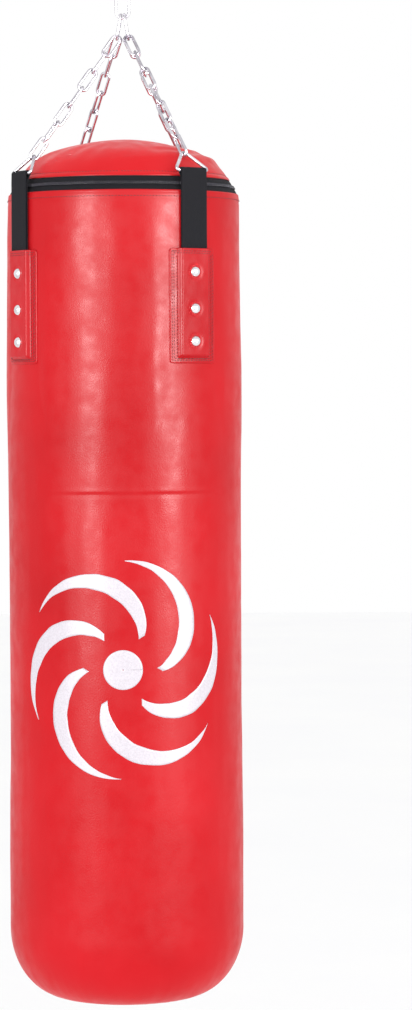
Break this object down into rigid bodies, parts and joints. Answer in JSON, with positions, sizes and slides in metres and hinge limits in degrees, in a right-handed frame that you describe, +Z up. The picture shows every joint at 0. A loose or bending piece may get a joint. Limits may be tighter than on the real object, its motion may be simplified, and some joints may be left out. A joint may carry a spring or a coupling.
{
  "type": "heavy punching bag",
  "caption": "Long cylindrical leather training bag with a domed zipped lid, webbing straps, riveted patches, leg chains and a swivel snap hook.",
  "frame": {"origin": "inside bearing point of the snap hook's bow, where the support's bar or eye carries it", "axes": "+Z up along the bag's axis, -Y towards the front of the bag, which carries the emblem, +X to the right seen from the front"},
  "size_m": [0.32, 0.3198, 1.515],
  "materials": {
    "wall_leather": "satin",
    "lid_leather": "satin",
    "patch_leather": "satin",
    "webbing": "matte",
    "zinc_steel": "satin",
    "hook_steel": "satin",
    "rivet_metal": "gloss",
    "zipper_tape": "matte",
    "zipper_coil": "satin",
    "zipper_metal": "satin",
    "lining": "matte",
    "foam": "matte",
    "rags": "matte"
  },
  "bodies": {
    "hook": {"hook_body": "hook_steel", "gate_pin": "hook_steel", "gate_spring": "hook_steel"},
    "gate": {"hook_gate": "hook_steel"},
    "swivel": {"swivel_eye": "hook_steel"},
    "link_upper": {"riser_link_upper": "zinc_steel"},
    "link_lower": {"riser_link_lower": "zinc_steel"},
    "slider": {"zipper_slider": "zipper_metal"},
    "pull_tab": {"zipper_pull_tab": "zipper_metal"},
    "bag": {"bottom_foam_disc": "foam", "collector_link_left": "zinc_steel", "collector_link_right": "zinc_steel", "cover_bottom": "wall_leather", "cover_sidewall": "wall_leather", "foam_wall": "foam", "inner_liner": "lining", "leg_chain_back_left": "zinc_steel", "leg_chain_back_right": "zinc_steel", "leg_chain_front_left": "zinc_steel", "leg_chain_front_right": "zinc_steel", "lid_cover": "lid_leather", "lid_hinge_strip": "lid_leather", "lid_pad": "foam", "rag_filling": "rags", "rivet_backs_back_left": "rivet_metal", "rivet_backs_back_right": "rivet_metal", "rivet_backs_front_left": "rivet_metal", "rivet_backs_front_right": "rivet_metal", "rivets_back_left": "rivet_metal", "rivets_back_right": "rivet_metal", "rivets_front_left": "rivet_metal", "rivets_front_right": "rivet_metal", "strap_back_left": "webbing", "strap_back_right": "webbing", "strap_front_left": "webbing", "strap_front_right": "webbing", "strap_patch_back_left": "patch_leather", "strap_patch_back_right": "patch_leather", "strap_patch_front_left": "patch_leather", "strap_patch_front_right": "patch_leather", "triangle_ring_back_left": "zinc_steel", "triangle_ring_back_right": "zinc_steel", "triangle_ring_front_left": "zinc_steel", "triangle_ring_front_right": "zinc_steel", "zipper_coil_lower": "zipper_coil", "zipper_coil_upper": "zipper_coil", "zipper_end_stops": "zipper_metal", "zipper_tape_lower": "zipper_tape", "zipper_tape_upper": "zipper_tape"}
  },
  "joints": [
    {"name": "gate_hinge", "type": "hinge", "parent": "hook", "child": "gate", "pos_m": [0.014, 0, -0.047], "axis": [0, -1, 0], "range_deg": [0, 28], "stiffness_Nm_per_rad": 0.05, "springref_deg": -22.92},
    {"name": "hook_swivel", "type": "hinge", "parent": "hook", "child": "swivel", "pos_m": [0, 0, -0.07], "axis": [0, 0, 1], "continuous": true},
    {"name": "riser_upper_swing", "type": "hinge", "parent": "swivel", "child": "link_upper", "pos_m": [0, 0, -0.092], "axis": [1, 0, 0], "range_deg": [-35, 35]},
    {"name": "riser_lower_swing", "type": "hinge", "parent": "link_upper", "child": "link_lower", "pos_m": [0, 0, -0.12205], "axis": [0, 1, 0], "range_deg": [-35, 35]},
    {"name": "bag_swing", "type": "hinge", "parent": "link_lower", "child": "bag", "pos_m": [0, 0, -0.15206], "axis": [1, 0, 0], "range_deg": [-30, 30]},
    {"name": "slider_travel", "type": "hinge", "parent": "bag", "child": "slider", "pos_m": [0, 0, -0.38888], "axis": [0, 0, 1], "range_deg": [-327, 0]},
    {"name": "pull_tab_flip", "type": "hinge", "parent": "slider", "child": "pull_tab", "pos_m": [0.05865, 0.14515, -0.38654], "axis": [0.1864, 0.4613, -0.8674], "range_deg": [0, 140]}
  ]
}
